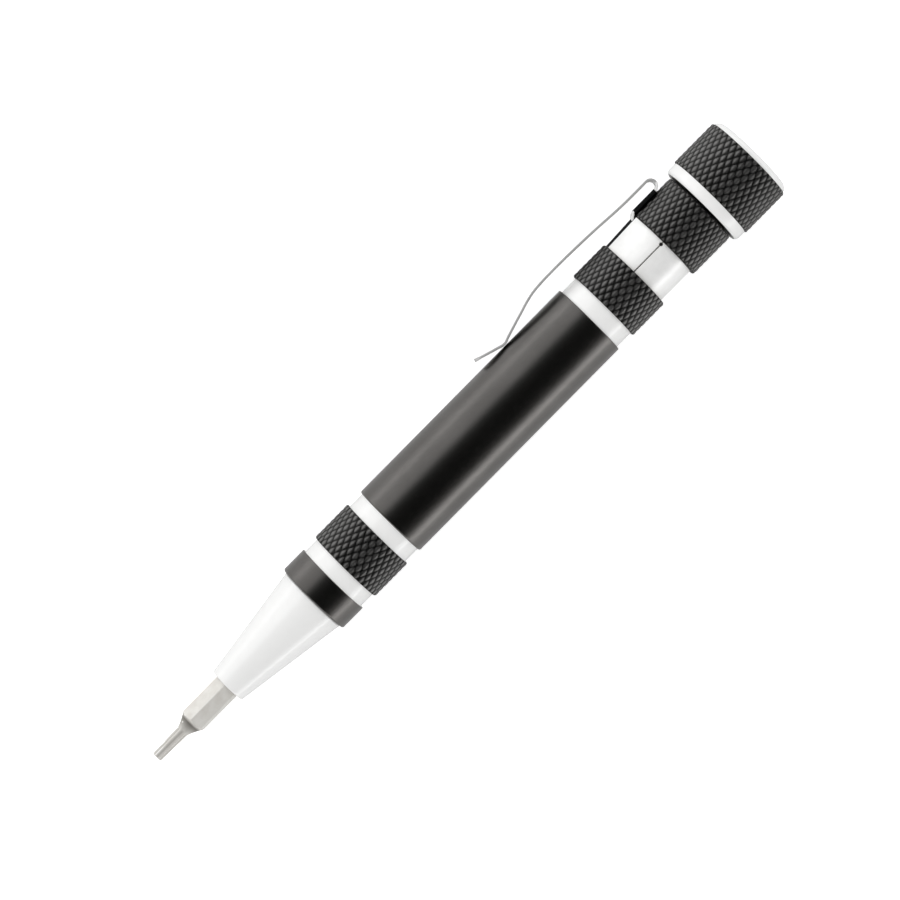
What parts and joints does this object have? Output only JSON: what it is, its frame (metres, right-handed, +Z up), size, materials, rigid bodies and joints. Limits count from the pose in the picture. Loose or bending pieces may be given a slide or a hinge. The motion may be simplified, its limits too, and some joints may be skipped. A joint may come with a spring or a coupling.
{
  "type": "pocket screwdriver",
  "caption": "Pen-size precision screwdriver: magnetic hex bit socket in a bright cone, knurled black handle that stores spare bits, spring pocket clip and free-spinning cap.",
  "frame": {"origin": "point of the bit in use, on the pen's axis", "axes": "+X along the pen from the bit to the cap, +Y towards the pocket clip, +Z up, with the clip band's seam on top"},
  "size_m": [0.1304, 0.0172, 0.0154],
  "materials": {
    "bright_aluminium": "satin, turned and bead blasted",
    "black_anodised": "satin black anodised aluminium, knurled at the grips",
    "tool_steel": "ground chrome vanadium steel",
    "spring_steel": "polished spring steel",
    "bearing_steel": "ground",
    "magnet_nickel": "nickel plated",
    "black_rubber": "matte",
    "grey_plastic": "moulded"
  },
  "bodies": {
    "handle": {"nose_cone": "bright_aluminium", "bit_socket": "tool_steel", "socket_magnet": "magnet_nickel", "body_tube": "black_anodised"},
    "bit": {"driver_bit": "tool_steel"},
    "magazine": {"bit_magazine": "grey_plastic", "small_slotted_bit": "tool_steel", "large_slotted_bit": "tool_steel", "small_cross_bit": "tool_steel", "large_cross_bit": "tool_steel", "spare_star_bit": "tool_steel", "hex_bit": "tool_steel"},
    "seal": {"tail_seal": "black_rubber"},
    "tail": {"tail_grip": "black_anodised", "magazine_pad": "black_rubber", "clip_band": "spring_steel", "bearing_outer_race": "bearing_steel"},
    "clip": {"clip_arm": "spring_steel"},
    "balls": {"bearing_balls": "bearing_steel", "bearing_cage": "grey_plastic"},
    "cap": {"cap_shell": "black_anodised", "cap_spindle": "tool_steel", "bearing_inner_race": "bearing_steel", "spindle_ring": "spring_steel"}
  },
  "joints": [
    {"name": "bit_draw", "type": "slide", "parent": "handle", "child": "bit", "axis": [-1, 0, 0], "range_m": [0, 0.014]},
    {"name": "magazine_draw", "type": "slide", "parent": "handle", "child": "magazine", "axis": [1, 0, 0], "range_m": [0, 0.06]},
    {"name": "tail_travel", "type": "slide", "parent": "magazine", "child": "seal", "axis": [1, 0, 0], "range_m": [0, 0.0051]},
    {"name": "tail_unscrew", "type": "hinge", "parent": "seal", "child": "tail", "pos_m": [0.0947, 0, 0], "axis": [1, 0, 0], "range_deg": [0, 1800]},
    {"name": "clip_flex", "type": "hinge", "parent": "tail", "child": "clip", "pos_m": [0.1168, 0.00773, 0], "axis": [0, 0, -1], "range_deg": [0, 6], "stiffness_Nm_per_rad": 1.5},
    {"name": "cap_spin", "type": "hinge", "parent": "tail", "child": "cap", "pos_m": [0.11905, 0, 0], "axis": [1, 0, 0], "continuous": true},
    {"name": "ball_orbit", "type": "hinge", "parent": "tail", "child": "balls", "pos_m": [0.1166, 0, 0], "axis": [1, 0, 0], "continuous": true}
  ],
  "couplings": [
    {"joint": "tail_travel", "follows": "tail_unscrew", "m_per_rad": 0.00015915},
    {"joint": "ball_orbit", "follows": "cap_spin", "ratio": 0.3785}
  ]
}
